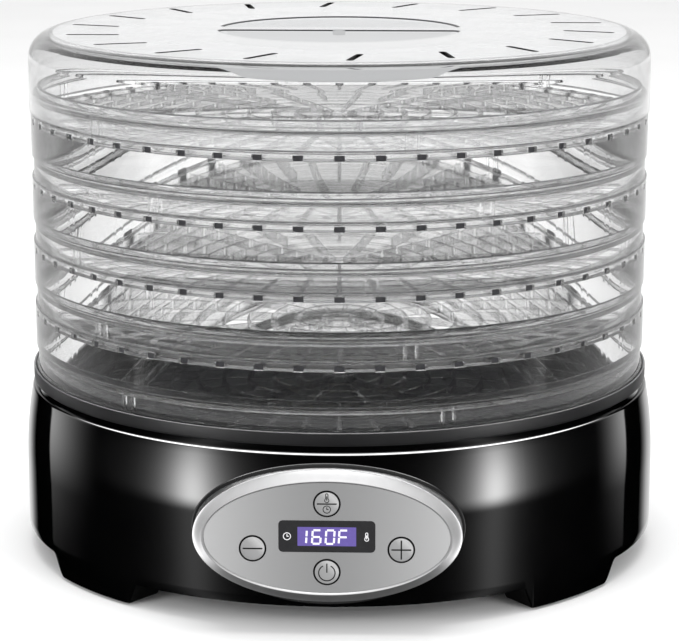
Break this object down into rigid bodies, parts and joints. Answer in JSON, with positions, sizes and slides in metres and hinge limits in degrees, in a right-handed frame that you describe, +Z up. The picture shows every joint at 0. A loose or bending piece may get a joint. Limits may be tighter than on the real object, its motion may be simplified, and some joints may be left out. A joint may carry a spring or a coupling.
{
  "type": "food dehydrator",
  "caption": "Round countertop food dehydrator: glossy drum base with oval control panel and fan heater, stacked clear mesh-floor trays and a vented clear lid with finger pockets.",
  "frame": {"origin": "on the ground under the centre of the dehydrator's box, on the drum's axis", "axes": "+Z up along the drum's axis, -Y towards the control panel, +Y towards the cord inlet, +X to the right of a person facing the panel"},
  "size_m": [0.3216, 0.3328, 0.2614],
  "materials": {
    "gloss_black": "polished black moulding",
    "satin_black": "satin black moulding",
    "foot_rubber": "dark grey rubber",
    "screw_steel": "zinc plated",
    "silver_bezel": "satin silver paint",
    "silver_face": "brushed-look silver-grey film",
    "silver_button": "satin silver",
    "display_black": "smoked gloss window",
    "display_lit": "backlit violet display",
    "board_green": "solder-masked circuit board",
    "component_black": "moulded component bodies",
    "sheet_steel": "aluminised sheet steel",
    "bearing_bronze": "sintered bronze",
    "rotor_iron": "laminated iron",
    "fan_white": "natural heat-proof plastic",
    "mica": "mica board",
    "heater_wire": "dull resistance wire",
    "wire_red": "insulated wire",
    "clear_plastic": "clear moulded plastic",
    "clear_lid": "clear moulded plastic"
  },
  "bodies": {
    "base": {"base_housing": "gloss_black", "inner_deck": "satin_black", "air_grille": "satin_black", "bottom_cover": "satin_black", "foot_pads": "foot_rubber", "cover_screws": "screw_steel", "panel_bezel": "silver_bezel", "panel_face": "silver_face", "display_window": "display_black", "display_module": "display_lit", "control_board": "board_green", "button_switches": "component_black", "board_screws": "screw_steel", "bezel_screws": "screw_steel", "motor_can": "sheet_steel", "motor_bearings": "bearing_bronze", "motor_bracket": "sheet_steel", "bracket_screws": "screw_steel", "heat_shield": "sheet_steel", "mica_frame": "mica", "heating_coils": "heater_wire", "thermostat": "mica", "thermal_fuse": "screw_steel", "temperature_sensor": "component_black", "power_board": "board_green", "power_components": "component_black", "power_board_screws": "screw_steel", "wiring": "wire_red", "cord_gland": "foot_rubber"},
    "fan": {"fan_impeller": "fan_white", "motor_shaft": "screw_steel", "motor_rotor": "rotor_iron"},
    "temp_time_key": {"temp_time_button": "silver_button"},
    "power_key": {"power_button": "silver_button"},
    "minus_key": {"minus_button": "silver_button"},
    "plus_key": {"plus_button": "silver_button"},
    "lowest_tray": {"tray_5_wall": "clear_plastic", "tray_5_floor": "clear_plastic"},
    "fourth_tray": {"tray_4_wall": "clear_plastic", "tray_4_floor": "clear_plastic"},
    "middle_tray": {"tray_3_wall": "clear_plastic", "tray_3_floor": "clear_plastic"},
    "second_tray": {"tray_2_wall": "clear_plastic", "tray_2_floor": "clear_plastic"},
    "top_tray": {"tray_1_wall": "clear_plastic", "tray_1_floor": "clear_plastic"},
    "vented_lid": {"lid": "clear_lid"}
  },
  "joints": [
    {"name": "fan_spin", "type": "hinge", "parent": "base", "child": "fan", "pos_m": [0, 0, 0.05], "axis": [0, 0, 1], "continuous": true},
    {"name": "temp_time_press", "type": "slide", "parent": "base", "child": "temp_time_key", "axis": [0, 1, 0], "range_m": [0, 0.0007], "stiffness_N_per_m": 800, "springref_m": -0.0008},
    {"name": "power_press", "type": "slide", "parent": "base", "child": "power_key", "axis": [0, 1, 0], "range_m": [0, 0.0007], "stiffness_N_per_m": 800, "springref_m": -0.0008},
    {"name": "minus_press", "type": "slide", "parent": "base", "child": "minus_key", "axis": [0, 1, 0], "range_m": [0, 0.0007], "stiffness_N_per_m": 800, "springref_m": -0.0008},
    {"name": "plus_press", "type": "slide", "parent": "base", "child": "plus_key", "axis": [0, 1, 0], "range_m": [0, 0.0007], "stiffness_N_per_m": 800, "springref_m": -0.0008},
    {"name": "lowest_tray_lift", "type": "slide", "parent": "base", "child": "lowest_tray", "axis": [0, 0, 1], "range_m": [0, 0.06]},
    {"name": "fourth_tray_lift", "type": "slide", "parent": "lowest_tray", "child": "fourth_tray", "axis": [0, 0, 1], "range_m": [0, 0.06]},
    {"name": "middle_tray_lift", "type": "slide", "parent": "fourth_tray", "child": "middle_tray", "axis": [0, 0, 1], "range_m": [0, 0.06]},
    {"name": "second_tray_lift", "type": "slide", "parent": "middle_tray", "child": "second_tray", "axis": [0, 0, 1], "range_m": [0, 0.06]},
    {"name": "top_tray_lift", "type": "slide", "parent": "second_tray", "child": "top_tray", "axis": [0, 0, 1], "range_m": [0, 0.06]},
    {"name": "lid_lift", "type": "slide", "parent": "top_tray", "child": "vented_lid", "axis": [0, 0, 1], "range_m": [0, 0.06]}
  ]
}
